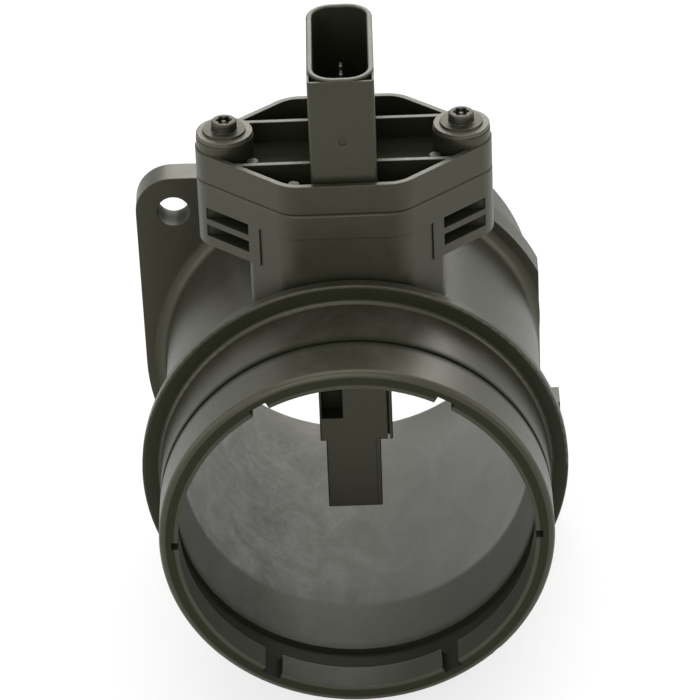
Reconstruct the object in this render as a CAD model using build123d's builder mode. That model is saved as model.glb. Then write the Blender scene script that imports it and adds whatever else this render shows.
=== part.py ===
"""Mass airflow sensor: a moulded flow tube with a plug-in hot-film sensor on its neck.

The duct axis runs along Y with the hose side towards -Y, and the sensor stands up along +Z. The origin is on
the duct axis, in the flange face that bolts to the filter box.
"""
import os

from build123d import *

os.makedirs("parts", exist_ok=True)

# Duct and hose side
bore_radius = 39.8
tube_wall = 4.2
spigot_wall = 4.7
hose_reach = 87.0
hose_seat_length = 29.4
lip_length = 12.7
lip_rounding = 1.4
lip_groove_width = 1.1
lip_groove_depth = 0.9
collar_height = 4.4
collar_thickness = 3.2
collar_rounding = 0.6
collar_root_rounding = 1.0

# Hose-side mouth: a notched land, a recess behind it and a flare into the bore
mouth_step = 0.4
land_length = 7.5
recess_depth = 1.6
recess_length = 8.5
flare_height = 1.2
flare_length = 16.5
notch_angle = 60.0
notch_width = 4.3
nick_width = 1.9

# Flange and filter side
flange_thickness = 7.0
flange_rim = 5.0
flange_root_rounding = 3.0
bolt_circle_offset = 8.4
bolt_hole_radius = 3.8
ear_count = 2
ear_wall = 5.0
ear_angle = 135.0
flange_flat_rim = 0.5
flange_flat_drop = 16.0
filter_spigot_wall = 4.1
filter_spigot_length = 24.0
filter_end_rounding = 1.2
inlet_rounding = 1.6
spigot_seal_end_gap = 14.0
spigot_seal_width = 4.0
spigot_seal_depth = 1.8
spigot_seal_bulge = 1.2
seal_clearance = 0.1

# Sensor flange outline, shared by the neck and the plug-in module
sensor_setback = 32.9
screw_count = 2
screw_spacing = 53.5
outline_end_radius = 6.8
outline_depth = 42.2
outline_corner_radius = 8.0
outline_corner_spacing = 19.8
seam_chamfer = 0.4

# Neck of the tube
neck_height = 21.3
neck_width = 44.1
neck_inset = 0.3
neck_corner_radius = 2.5
neck_flange_thickness = 6.2
tower_height = 9.7
tower_wall = 2.0
tower_fin = 1.5
tower_floor = 2.4
screw_column_radius = 4.4
plug_clearance = 0.25

# Module flange pan and its screw bosses
pan_height = 7.4
pan_floor = 2.0
pan_wall = 1.3
rib_thickness = 1.2
rib_spacing = 19.7
boss_height = 2.4
boss_inset = 0.3
post_radius = 1.3
post_drop = 1.6
post_setback = 4.6
post_reach = 11.3
boss_post_reach = 20.6
boss_post_setback = 5.4

# Connector shroud and contact blades
connector_width = 14.9
connector_length = 36.3
connector_shift = 0.9
connector_height = 25.7
connector_corner_radius = 6.0
connector_wall = 1.3
connector_rim_rounding = 0.4
connector_plate_drop = 0.5
connector_plate_rounding = 0.8
connector_plate_wall = 0.5
connector_pocket_depth = 4.0
socket_depth = 19.0
gate_radius = 0.9
gate_depth = 0.3
gate_height = 10.0
terminal_count = 5
terminal_pitch = 4.0
terminal_width = 1.8
terminal_thickness = 0.8
terminal_reach = 9.0
terminal_overlap = 3.5
terminal_point = 0.3

# Plug and its seal
plug_radius = 16.75
plug_seal_drop = 7.5
plug_seal_width = 3.4
plug_seal_depth = 2.2

# Measuring finger
finger_length = 26.0
finger_left = 7.9
finger_right = 7.7
finger_step_height = 0.4
tip_left = 6.6
tip_right = 5.0
tip_depth = 17.8
finger_edge_rounding = 0.4
tray_wall = 2.5
tray_sill = 3.0
tray_height = 32.6
window_wall = 0.5
window_width = 4.9
window_sill = 6.0
window_height = 13.6
window_depth = 5.0

# Measuring channel in the finger's tip
channel_width = 8.0
channel_drop = 6.0
channel_back_wall = 2.0
channel_bend_radius = 6.5
channel_bend_start = 0.5

# Lids
lid_thickness = 1.2
lid_seam = 0.5
lid_seam_inset = 0.8
lid_land = 1.0
lid_clearance = 0.15
channel_lid_thickness = 1.0
lid_edge_rounding = 0.3

# Circuit
circuit_clearance = 0.3
carrier_thickness = 0.8
board_thickness = 0.8
board_margin = 1.5
tongue_width = 7.0
tongue_shift = 5.0
tongue_tip_gap = 1.0
sensing_chip_width = 3.0
sensing_chip_height = 5.0
sensing_chip_thickness = 0.5
sensing_chip_margin = 0.8
signal_chip_size = 6.0
signal_chip_thickness = 1.4
signal_chip_shift = 4.0
capacitor_count = 3
capacitor_length = 2.6
capacitor_width = 1.6
capacitor_height = 1.3
capacitor_pitch = 5.0
capacitor_drop = 8.0
bead_radius = 1.2
lead_radius = 0.3
lead_spacing = 1.2
lead_embed = 2.0
bead_drop = 6.0

# Screws
screw_washer_radius = 5.65
screw_washer_thickness = 1.0
screw_head_radius = 4.6
screw_head_height = 2.6
screw_head_rounding = 1.2
screw_shank_radius = 2.0
screw_length = 20.0
screw_hole_clearance = 0.4
screw_pilot_clearance = 0.05
screw_pilot_spare = 1.6
drive_lobes = 6
drive_radius = 2.1
drive_lobe_radius = 0.65
drive_depth = 1.8
drive_pin_radius = 0.75
drive_pin_drop = 0.4

# Places worked out from the sizes above
tube_radius = bore_radius + tube_wall
spigot_radius = bore_radius + spigot_wall
collar_radius = spigot_radius + collar_height
mouth_radius = bore_radius + mouth_step
recess_wall_radius = mouth_radius + recess_depth
filter_spigot_radius = bore_radius + filter_spigot_wall
seal_groove_radius = filter_spigot_radius - spigot_seal_depth
seal_groove_end = filter_spigot_length - spigot_seal_end_gap
seal_groove_start = seal_groove_end - spigot_seal_width
flange_radius = tube_radius + flange_rim
bolt_circle_radius = flange_radius + bolt_circle_offset
ear_radius = bolt_hole_radius + ear_wall
hose_end = -hose_reach
collar_front = hose_end + hose_seat_length
collar_back = collar_front + collar_thickness
land_end = hose_end + land_length
recess_end = land_end + recess_length
flare_end = recess_end + flare_length
sensor_y = -sensor_setback
seat_z = tube_radius + neck_height
neck_flange_z = seat_z - neck_flange_thickness
tower_z = neck_flange_z - tower_height
rim_z = seat_z + pan_height
boss_z = rim_z + boss_height
mouth_z = rim_z + connector_height
socket_z = mouth_z - socket_depth
connector_y = sensor_y - connector_shift
connector_front = connector_y - connector_length / 2
neck_bore_radius = plug_radius + plug_clearance
screw_x = screw_spacing / 2
outline_corner_y = outline_depth / 2 - outline_corner_radius
tray_z = finger_step_height + tray_sill
tray_top_z = tray_z + tray_height
finger_front = sensor_y - finger_length / 2
finger_back = sensor_y + finger_length / 2
board_face_x = -terminal_thickness / 2
carrier_face_x = board_face_x - board_thickness
tray_x = carrier_face_x - carrier_thickness
channel_z = finger_step_height - channel_drop
channel_floor_x = channel_back_wall - tip_left
tongue_tip_z = channel_z - channel_width / 2 + tongue_tip_gap
window_x = window_wall + window_width / 2 - finger_left
window_z = finger_step_height + window_sill + window_height / 2
duct_plane = Plane.XZ


# Sensor flange outline: a lozenge with rounded ends about the screws and a flat front and back
with BuildSketch() as sensor_outline:
    with Locations((0, sensor_y)):
        with GridLocations(screw_spacing, 0, screw_count, 1):
            Circle(outline_end_radius)
        with GridLocations(outline_corner_spacing, 2 * outline_corner_y, 2, 2):
            Circle(outline_corner_radius)
    make_hull()

# Neck section: the middle of that outline, set in a little and cut off at the sides
with BuildSketch() as neck_section:
    add(sensor_outline.sketch)
    offset(amount=-neck_inset, mode=Mode.REPLACE)
    with Locations((0, sensor_y)):
        Rectangle(neck_width, outline_depth, mode=Mode.INTERSECT)
    fillet(neck_section.vertices().group_by(Axis.X)[0], neck_corner_radius)
    fillet(neck_section.vertices().group_by(Axis.X)[-1], neck_corner_radius)

# Flow tube
with BuildPart() as flow_tube:
    # Outside of the duct: lip, groove, hose seat, collar, tube and filter-side spigot
    with BuildSketch(Plane.YZ):
        with BuildLine():
            Polyline(
                (filter_spigot_length, 0),
                (hose_end, 0),
                (hose_end, spigot_radius),
                (hose_end + lip_length, spigot_radius),
                (hose_end + lip_length, spigot_radius - lip_groove_depth),
                (hose_end + lip_length + lip_groove_width, spigot_radius - lip_groove_depth),
                (hose_end + lip_length + lip_groove_width, spigot_radius),
                (collar_front - collar_root_rounding, spigot_radius),
            )
            TangentArc(
                (collar_front - collar_root_rounding, spigot_radius),
                (collar_front, spigot_radius + collar_root_rounding),
                tangent=(1, 0),
            )
            Polyline(
                (collar_front, spigot_radius + collar_root_rounding),
                (collar_front, collar_radius),
                (collar_back, collar_radius),
                (collar_back, tube_radius),
                (-flange_thickness - flange_root_rounding, tube_radius),
            )
            TangentArc(
                (-flange_thickness - flange_root_rounding, tube_radius),
                (-flange_thickness, tube_radius + flange_root_rounding),
                tangent=(1, 0),
            )
            Polyline(
                (-flange_thickness, tube_radius + flange_root_rounding),
                (-flange_thickness / 2, tube_radius + flange_root_rounding),
                (-flange_thickness / 2, filter_spigot_radius),
                (seal_groove_start, filter_spigot_radius),
                (seal_groove_start, seal_groove_radius),
                (seal_groove_end, seal_groove_radius),
                (seal_groove_end, filter_spigot_radius),
                (filter_spigot_length, filter_spigot_radius),
                (filter_spigot_length, 0),
            )
        make_face()
    revolve(axis=Axis.Y)
    fillet(flow_tube.edges().group_by(Axis.Y)[0], lip_rounding)
    fillet(flow_tube.edges().filter_by(GeomType.CIRCLE).group_by(SortBy.RADIUS)[-1], collar_rounding)
    fillet(flow_tube.edges().group_by(Axis.Y)[-1], filter_end_rounding)

    # Bolting flange: a disc with two ears across from each other and a flat flush with the tube's side
    with BuildSketch(duct_plane):
        Circle(flange_radius)
        with PolarLocations(bolt_circle_radius, ear_count, start_angle=ear_angle):
            Circle(ear_radius)
        make_hull()
        with PolarLocations(bolt_circle_radius, ear_count, start_angle=ear_angle):
            Circle(bolt_hole_radius, mode=Mode.SUBTRACT)
    extrude(amount=flange_thickness)
    with BuildSketch(duct_plane):
        with Locations((tube_radius + flange_flat_rim, -flange_flat_drop)):
            Rectangle(flange_radius, bolt_circle_radius, align=(Align.MIN, Align.MIN))
    extrude(amount=flange_thickness + flange_root_rounding, mode=Mode.SUBTRACT)

    # Neck, its flange and the screw towers under the flange's ends
    with BuildSketch(Plane.XY):
        add(neck_section.sketch)
    extrude(amount=seat_z)
    with BuildSketch(Plane.XY.offset(tower_z)):
        add(sensor_outline.sketch)
        with Locations((0, sensor_y)):
            Rectangle(neck_width - 2 * neck_corner_radius, outline_depth, mode=Mode.SUBTRACT)
    extrude(amount=tower_height)
    with BuildSketch(Plane.XY.offset(neck_flange_z)):
        add(sensor_outline.sketch)
    extrude(amount=neck_flange_thickness)
    chamfer(flow_tube.edges().group_by(Axis.Z)[-1], seam_chamfer)
    slot_height = (tower_height - tower_fin - tower_floor) / 2
    slot_length = screw_x + outline_end_radius - tower_wall - neck_width / 2
    slot_depth = outline_depth / 2 - screw_column_radius
    for slot_z in (neck_flange_z - slot_height, tower_z + tower_floor):
        with BuildSketch(Plane.XY.offset(slot_z)):
            with Locations((0, sensor_y)):
                with GridLocations(neck_width + slot_length, outline_depth - slot_depth, 2, 2):
                    Rectangle(slot_length, slot_depth)
        extrude(amount=slot_height, mode=Mode.SUBTRACT)

    # Bore with its flare, recess and notched land
    with BuildSketch(Plane.YZ):
        with BuildLine():
            Polyline(
                (filter_spigot_length, 0),
                (hose_end, 0),
                (hose_end, mouth_radius),
                (land_end, mouth_radius),
                (land_end, recess_wall_radius),
                (recess_end, recess_wall_radius),
                (recess_end, bore_radius + flare_height),
                (flare_end, bore_radius),
                (filter_spigot_length - inlet_rounding, bore_radius),
            )
            TangentArc(
                (filter_spigot_length - inlet_rounding, bore_radius),
                (filter_spigot_length, bore_radius + inlet_rounding),
                tangent=(1, 0),
            )
            Line((filter_spigot_length, bore_radius + inlet_rounding), (filter_spigot_length, 0))
        make_face()
    revolve(axis=Axis.Y, mode=Mode.SUBTRACT)
    with BuildSketch(duct_plane.offset(hose_reach)):
        with PolarLocations(mouth_radius, 2):
            Rectangle(2 * recess_depth, nick_width)
        with PolarLocations(mouth_radius, 2, start_angle=notch_angle):
            Rectangle(2 * recess_depth, notch_width)
        with PolarLocations(mouth_radius, 2, start_angle=2 * notch_angle):
            Rectangle(2 * recess_depth, notch_width)
    extrude(amount=-land_length, mode=Mode.SUBTRACT)

    # Socket for the plug and pilot holes for the screws
    with BuildSketch(Plane.XY.offset(seat_z)):
        with Locations((0, sensor_y)):
            Circle(neck_bore_radius)
    extrude(amount=-seat_z, mode=Mode.SUBTRACT)
    with Locations(Plane.XY.offset(seat_z)):
        with Locations((0, sensor_y)):
            with GridLocations(screw_spacing, 0, screw_count, 1):
                Hole(screw_shank_radius + screw_pilot_clearance,
                     depth=screw_length - (boss_z - seat_z) + screw_pilot_spare)
flow_tube.part.label = "flow_tube"
export_step(flow_tube.part, "parts/flow_tube.step")

# Sensor body
with BuildPart() as sensor_body:
    # Flange pan: ribs trimmed to the outline, floor, wall and raised screw bosses
    with BuildSketch(Plane.XY.offset(seat_z)):
        with Locations((0, sensor_y)):
            with GridLocations(0, rib_spacing, 1, 2):
                Rectangle(screw_spacing, rib_thickness)
    extrude(amount=pan_height)
    with BuildSketch(Plane.XY.offset(seat_z)):
        add(sensor_outline.sketch)
    extrude(amount=pan_height, mode=Mode.INTERSECT)
    with BuildSketch(Plane.XY.offset(seat_z)):
        add(sensor_outline.sketch)
    extrude(amount=pan_floor)
    with BuildSketch(Plane.XY.offset(seat_z)):
        add(sensor_outline.sketch)
        offset(amount=-pan_wall, mode=Mode.SUBTRACT)
    extrude(amount=pan_height)
    chamfer(sensor_body.edges().group_by(Axis.Z)[0], seam_chamfer)
    with BuildSketch(Plane.XY.offset(seat_z)):
        with Locations((0, sensor_y)):
            with GridLocations(screw_spacing, 0, screw_count, 1):
                Circle(outline_end_radius - boss_inset)
    extrude(amount=pan_height + boss_height)
    with BuildSketch(Plane.XY.offset(seat_z)):
        with Locations(
            (-post_reach, sensor_y - outline_depth / 2 + post_setback),
            (-boss_post_reach, sensor_y - boss_post_setback),
            (boss_post_reach, sensor_y - boss_post_setback),
        ):
            Circle(post_radius)
    extrude(amount=pan_height - post_drop)

    # Connector shroud with a flat plate in front of its rounded corners, hollow in its two upper corners
    with BuildSketch(Plane.XY.offset(seat_z)):
        with Locations((0, connector_y)):
            RectangleRounded(connector_width, connector_length, connector_corner_radius)
    extrude(amount=mouth_z - seat_z)
    with BuildSketch(Plane.XY.offset(seat_z)) as plate_section:
        with Locations((0, connector_front)):
            Rectangle(connector_width, connector_corner_radius, align=(Align.CENTER, Align.MIN))
        fillet(plate_section.vertices().group_by(Axis.Y)[0], connector_plate_rounding)
    extrude(amount=mouth_z - connector_plate_drop - seat_z)
    with BuildSketch(Plane.XY.offset(mouth_z - connector_plate_drop)):
        with Locations((0, connector_front + connector_plate_wall)):
            Rectangle(
                connector_width - 2 * connector_plate_wall,
                connector_corner_radius - connector_plate_wall,
                align=(Align.CENTER, Align.MIN),
            )
        with Locations((0, connector_y)):
            RectangleRounded(connector_width, connector_length, connector_corner_radius, mode=Mode.SUBTRACT)
    extrude(amount=-connector_pocket_depth, mode=Mode.SUBTRACT)
    with BuildSketch(Plane.XY.offset(mouth_z)):
        with Locations((0, connector_y)):
            RectangleRounded(
                connector_width - 2 * connector_wall,
                connector_length - 2 * connector_wall,
                connector_corner_radius - connector_wall,
            )
    extrude(amount=-socket_depth, mode=Mode.SUBTRACT)
    fillet(sensor_body.edges().group_by(Axis.Z)[-1], connector_rim_rounding)
    with BuildSketch(Plane.XZ.offset(-connector_front)):
        with Locations((0, rim_z + gate_height)):
            Circle(gate_radius)
    extrude(amount=-gate_depth, mode=Mode.SUBTRACT)

    # Plug, flush with the bore at its lower end, with a groove for the seal
    with BuildSketch(Plane.XY.offset(seat_z)):
        with Locations((0, sensor_y)):
            Circle(plug_radius)
    extrude(amount=-seat_z)
    with BuildSketch(Plane.XY.offset(seat_z - plug_seal_drop)):
        with Locations((0, sensor_y)):
            Circle(neck_bore_radius)
            Circle(plug_radius - plug_seal_depth, mode=Mode.SUBTRACT)
    extrude(amount=plug_seal_width / 2, both=True, mode=Mode.SUBTRACT)
    with BuildSketch(duct_plane):
        Circle(bore_radius)
    extrude(amount=hose_reach, mode=Mode.SUBTRACT)

    # Measuring finger: a wider upper part that holds the circuit and a slimmer tip with the channel
    with BuildSketch(Plane.XY.offset(finger_step_height)) as finger_section:
        with Locations((-finger_left, sensor_y)):
            Rectangle(finger_left + finger_right, finger_length, align=(Align.MIN, Align.CENTER))
        fillet(finger_section.vertices().group_by(Axis.X)[0], finger_edge_rounding)
    extrude(amount=bore_radius + plug_clearance - finger_step_height)
    with BuildSketch(Plane.XY.offset(-tip_depth)) as tip_section:
        with Locations((-tip_left, sensor_y)):
            Rectangle(tip_left + tip_right, finger_length, align=(Align.MIN, Align.CENTER))
        fillet(tip_section.vertices().group_by(Axis.X)[0], finger_edge_rounding)
    extrude(amount=tip_depth + finger_step_height)

    # Tray for the circuit, window for the temperature bead and passages between them
    with BuildSketch(Plane.YZ.offset(tray_x)):
        with Locations((sensor_y, tray_z)):
            Rectangle(finger_length - 2 * tray_wall, tray_height, align=(Align.CENTER, Align.MIN))
    extrude(amount=finger_right - tray_x, mode=Mode.SUBTRACT)
    with BuildSketch(Plane.XZ.offset(-finger_front)):
        with Locations((window_x, window_z)):
            Rectangle(window_width, window_height)
    extrude(amount=-window_depth, mode=Mode.SUBTRACT)
    with BuildSketch(Plane.XY.offset(window_z + window_height / 2)):
        with Locations((window_x, finger_front + window_depth / 2)):
            with GridLocations(lead_spacing, 0, 2, 1):
                Circle(lead_radius)
    extrude(amount=lead_embed, mode=Mode.SUBTRACT)
    with BuildSketch(Plane.XY.offset(tray_top_z - terminal_overlap)):
        with Locations((0, connector_y)):
            with GridLocations(0, terminal_pitch, 1, terminal_count):
                Rectangle(terminal_thickness, terminal_width)
    extrude(amount=socket_z - tray_top_z + terminal_overlap, mode=Mode.SUBTRACT)

    # Measuring channel: in through the filter-side face, round a bend and out through the tip's end
    with BuildSketch(Plane.YZ.offset(channel_floor_x)):
        with BuildLine():
            bend_y = sensor_y + channel_bend_start
            inlet = Line((finger_back, channel_z), (bend_y, channel_z))
            turn = TangentArc(inlet @ 1, (bend_y - channel_bend_radius, channel_z - channel_bend_radius),
                              tangent=inlet % 1)
            Line(turn @ 1, (bend_y - channel_bend_radius, -tip_depth))
        trace(line_width=channel_width)
    extrude(amount=tip_right - channel_floor_x, mode=Mode.SUBTRACT)
    with BuildSketch(Plane.XY.offset(channel_z)):
        with Locations((tray_x, sensor_y + tongue_shift)):
            Rectangle(carrier_thickness, tongue_width, align=(Align.MIN, Align.CENTER))
    extrude(amount=tray_z - channel_z, mode=Mode.SUBTRACT)

    # Clearance holes for the screws
    with Locations(Plane.XY.offset(boss_z)):
        with Locations((0, sensor_y)):
            with GridLocations(screw_spacing, 0, screw_count, 1):
                Hole(screw_shank_radius + screw_hole_clearance, depth=boss_z - seat_z)
sensor_body.part.label = "sensor_body"
export_step(sensor_body.part, "parts/sensor_body.step")

# Lid of the electronics tray, standing on a narrower step that leaves a shadow line
with BuildPart() as electronics_cover:
    lid_z = finger_step_height
    lid_height = tray_top_z + tray_wall - lid_z
    with BuildSketch(Plane.YZ.offset(finger_right + lid_seam)):
        with Locations((sensor_y, lid_z)):
            Rectangle(finger_length, lid_height, align=(Align.CENTER, Align.MIN))
    extrude(amount=lid_thickness - lid_seam)
    fillet(electronics_cover.faces().sort_by(Axis.X)[-1].edges(), lid_edge_rounding)
    with BuildSketch(Plane.YZ.offset(finger_right)):
        with Locations((sensor_y, lid_z + lid_height / 2)):
            Rectangle(finger_length - 2 * lid_seam_inset, lid_height - 2 * lid_seam_inset)
    extrude(amount=lid_seam)
    with BuildSketch(Plane.YZ.offset(finger_right)):
        with Locations((sensor_y, tray_z + tray_height / 2)):
            Rectangle(
                finger_length - 2 * tray_wall - 2 * lid_clearance,
                tray_height - 2 * lid_clearance,
            )
    extrude(amount=-lid_land)
electronics_cover.part.label = "electronics_cover"
export_step(electronics_cover.part, "parts/electronics_cover.step")

# Lid of the measuring channel
with BuildPart() as channel_cover:
    with BuildSketch(Plane.YZ.offset(tip_right)):
        with Locations((sensor_y, -tip_depth)):
            Rectangle(finger_length, tip_depth + finger_step_height, align=(Align.CENTER, Align.MIN))
    extrude(amount=channel_lid_thickness)
    fillet(channel_cover.faces().sort_by(Axis.X)[-1].edges(), lid_edge_rounding)
channel_cover.part.label = "channel_cover"
export_step(channel_cover.part, "parts/channel_cover.step")

# Carrier plate on the tray's floor, with a tongue that reaches down into the channel
with BuildPart() as carrier_plate:
    with BuildSketch(Plane.YZ.offset(tray_x)):
        with Locations((sensor_y, tray_z + tray_height / 2)):
            Rectangle(
                finger_length - 2 * tray_wall - 2 * circuit_clearance,
                tray_height - 2 * circuit_clearance,
            )
        with Locations((sensor_y + tongue_shift, tongue_tip_z)):
            Rectangle(
                tongue_width,
                tray_z + circuit_clearance - tongue_tip_z,
                align=(Align.CENTER, Align.MIN),
            )
    extrude(amount=carrier_thickness)
carrier_plate.part.label = "carrier_plate"
export_step(carrier_plate.part, "parts/carrier_plate.step")

# Circuit board on the carrier plate
board_height = tray_height - 2 * circuit_clearance - board_margin
board_top_z = tray_top_z - circuit_clearance
with BuildPart() as hybrid_board:
    with BuildSketch(Plane.YZ.offset(carrier_face_x)):
        with Locations((sensor_y, board_top_z)):
            Rectangle(
                finger_length - 2 * tray_wall - 2 * circuit_clearance - board_margin,
                board_height,
                align=(Align.CENTER, Align.MAX),
            )
    extrude(amount=board_thickness)
hybrid_board.part.label = "hybrid_board"
export_step(hybrid_board.part, "parts/hybrid_board.step")

# Hot-film chip on the tongue, in the air stream
with BuildPart() as sensing_chip:
    with BuildSketch(Plane.YZ.offset(carrier_face_x)):
        with Locations((sensor_y + tongue_shift, tongue_tip_z + sensing_chip_margin)):
            Rectangle(sensing_chip_width, sensing_chip_height, align=(Align.CENTER, Align.MIN))
    extrude(amount=sensing_chip_thickness)
sensing_chip.part.label = "sensing_chip"
export_step(sensing_chip.part, "parts/sensing_chip.step")

# Evaluation circuit in the middle of the board
board_middle_z = board_top_z - board_height / 2
with BuildPart() as signal_chip:
    with BuildSketch(Plane.YZ.offset(board_face_x)):
        with Locations((sensor_y, board_middle_z + signal_chip_shift)):
            Rectangle(signal_chip_size, signal_chip_size)
    extrude(amount=signal_chip_thickness)
signal_chip.part.label = "signal_chip"
export_step(signal_chip.part, "parts/signal_chip.step")

# Row of block capacitors below it
for number in range(capacitor_count):
    with BuildPart() as capacitor:
        with BuildSketch(Plane.YZ.offset(board_face_x)):
            place_y = sensor_y + (number - (capacitor_count - 1) / 2) * capacitor_pitch
            with Locations((place_y, board_middle_z - capacitor_drop)):
                Rectangle(capacitor_width, capacitor_length)
        extrude(amount=capacitor_height)
    capacitor.part.label = f"capacitor_{number + 1}"
    export_step(capacitor.part, f"parts/capacitor_{number + 1}.step")

# Contact blades, standing in the socket and lying on the board's edge at their lower ends
for number in range(terminal_count):
    with BuildPart() as terminal:
        with BuildSketch(Plane.XY.offset(tray_top_z - terminal_overlap)):
            with Locations((0, connector_y + (number - (terminal_count - 1) / 2) * terminal_pitch)):
                Rectangle(terminal_thickness, terminal_width)
        extrude(amount=socket_z + terminal_reach - tray_top_z + terminal_overlap)
        chamfer(terminal.faces().sort_by(Axis.Z)[-1].edges(), terminal_point)
    terminal.part.label = f"terminal_{number + 1}"
    export_step(terminal.part, f"parts/terminal_{number + 1}.step")

# Temperature bead hung in the window by its two leads
with BuildPart() as air_temperature_bead:
    window_top_z = window_z + window_height / 2
    with BuildSketch(Plane.XY.offset(window_top_z - bead_drop)):
        with Locations((window_x, finger_front + window_depth / 2)):
            with GridLocations(lead_spacing, 0, 2, 1):
                Circle(lead_radius)
    extrude(amount=bead_drop + lead_embed)
    with Locations((window_x, finger_front + window_depth / 2, window_top_z - bead_drop)):
        Sphere(bead_radius)
air_temperature_bead.part.label = "air_temperature_bead"
export_step(air_temperature_bead.part, "parts/air_temperature_bead.step")

# Rubber ring between the plug and the neck
with BuildPart() as module_seal:
    with BuildSketch(Plane.XY.offset(seat_z - plug_seal_drop)):
        with Locations((0, sensor_y)):
            Circle(neck_bore_radius - seal_clearance)
            Circle(plug_radius - plug_seal_depth + seal_clearance, mode=Mode.SUBTRACT)
    extrude(amount=plug_seal_width / 2 - seal_clearance, both=True)
module_seal.part.label = "module_seal"
export_step(module_seal.part, "parts/module_seal.step")

# Rubber ring in the groove of the filter-side spigot, with a rounded crown
with BuildPart() as spigot_seal:
    with BuildSketch(Plane.YZ):
        with Locations((seal_groove_start + seal_clearance, seal_groove_radius + seal_clearance)):
            Rectangle(
                spigot_seal_width - 2 * seal_clearance,
                spigot_seal_depth + spigot_seal_bulge,
                align=(Align.MIN, Align.MIN),
            )
    revolve(axis=Axis.Y)
    crown_edges = spigot_seal.edges().filter_by(GeomType.CIRCLE).group_by(SortBy.RADIUS)[-1]
    fillet(crown_edges, spigot_seal_bulge)
spigot_seal.part.label = "spigot_seal"
export_step(spigot_seal.part, "parts/spigot_seal.step")

# Two washer-head screws with a six-lobe recess round a centre pin
with BuildPart() as retaining_screws:
    with BuildSketch(Plane.XY.offset(boss_z)):
        with Locations((0, sensor_y)):
            with GridLocations(screw_spacing, 0, screw_count, 1):
                Circle(screw_washer_radius)
    extrude(amount=screw_washer_thickness)
    with BuildSketch(Plane.XY.offset(boss_z)):
        with Locations((0, sensor_y)):
            with GridLocations(screw_spacing, 0, screw_count, 1):
                Circle(screw_head_radius)
    extrude(amount=screw_washer_thickness + screw_head_height)
    fillet(retaining_screws.edges().group_by(Axis.Z)[-1], screw_head_rounding)
    with BuildSketch(Plane.XY.offset(boss_z + screw_washer_thickness + screw_head_height)):
        with Locations((0, sensor_y)):
            with GridLocations(screw_spacing, 0, screw_count, 1):
                Circle(drive_radius)
                with PolarLocations(drive_radius, drive_lobes):
                    Circle(drive_lobe_radius)
    extrude(amount=-drive_depth, mode=Mode.SUBTRACT)
    with BuildSketch(Plane.XY.offset(boss_z + screw_washer_thickness)):
        with Locations((0, sensor_y)):
            with GridLocations(screw_spacing, 0, screw_count, 1):
                Circle(drive_pin_radius)
    extrude(amount=screw_head_height - drive_pin_drop)
    with BuildSketch(Plane.XY.offset(boss_z)):
        with Locations((0, sensor_y)):
            with GridLocations(screw_spacing, 0, screw_count, 1):
                Circle(screw_shank_radius)
    extrude(amount=-screw_length)
retaining_screws.part.label = "retaining_screws"
export_step(retaining_screws.part, "parts/retaining_screws.step")
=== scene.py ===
"""Dressing for the mass airflow sensor: mouldings, plated screws, rubber rings, the circuit and a studio.

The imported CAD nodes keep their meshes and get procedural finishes. The screws and the spigot's rubber ring
are worked out again as fine surfaces and stand in for their CAD nodes.
"""
import math

import bpy
import numpy as np
from bpy.props import FloatProperty, FloatVectorProperty, IntProperty, PointerProperty
from mathutils import Matrix, Vector


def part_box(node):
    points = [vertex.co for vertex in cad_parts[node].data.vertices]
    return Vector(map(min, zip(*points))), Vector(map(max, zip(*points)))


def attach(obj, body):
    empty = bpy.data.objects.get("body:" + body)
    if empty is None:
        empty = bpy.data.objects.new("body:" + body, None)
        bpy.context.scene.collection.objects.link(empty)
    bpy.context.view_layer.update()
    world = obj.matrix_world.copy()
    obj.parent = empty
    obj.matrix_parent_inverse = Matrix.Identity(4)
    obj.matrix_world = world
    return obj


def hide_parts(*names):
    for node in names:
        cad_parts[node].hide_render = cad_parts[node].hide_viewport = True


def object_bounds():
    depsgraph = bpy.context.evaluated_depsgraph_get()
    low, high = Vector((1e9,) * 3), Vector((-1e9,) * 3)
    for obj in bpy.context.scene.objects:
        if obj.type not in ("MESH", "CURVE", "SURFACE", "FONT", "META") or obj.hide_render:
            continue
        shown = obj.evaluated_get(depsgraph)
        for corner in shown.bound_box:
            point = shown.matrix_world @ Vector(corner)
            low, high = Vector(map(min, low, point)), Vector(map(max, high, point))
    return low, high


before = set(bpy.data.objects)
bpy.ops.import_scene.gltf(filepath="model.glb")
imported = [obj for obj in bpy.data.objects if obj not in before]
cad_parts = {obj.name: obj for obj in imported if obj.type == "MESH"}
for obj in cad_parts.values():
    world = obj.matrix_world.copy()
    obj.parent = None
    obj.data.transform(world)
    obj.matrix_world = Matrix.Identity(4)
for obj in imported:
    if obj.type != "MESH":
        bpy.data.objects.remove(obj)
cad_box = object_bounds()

bl_info = {
    "name": "Mass Airflow Sensor Dressing",
    "version": (1, 0, 0),
    "blender": (4, 5, 0),
    "location": "3D View > Sidebar > Airflow",
    "description": "Finishes, fine surfaces and studio for a packed mass airflow sensor",
    "category": "Object",
}

MM = 0.001


def extent(node):
    """Lowest corner, highest corner and middle of a CAD node, as arrays in metres."""
    low, high = (np.array(corner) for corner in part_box(node))
    return low, high, (low + high) / 2


SCREW_LOW, SCREW_HIGH, SCREW_MIDDLE = extent("retaining_screws")
SEAL_LOW, SEAL_HIGH = extent("spigot_seal")[:2]
# Distance of each screw's axis from the middle plane, height of the CAD head and washer, top of the bosses
SCREW_REACH = float(SCREW_HIGH[0] - (SCREW_HIGH[1] - SCREW_LOW[1]) / 2)
SCREW_STACK = 3.6 * MM
SCREW_SEAT = float(SCREW_HIGH[2]) - SCREW_STACK

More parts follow.
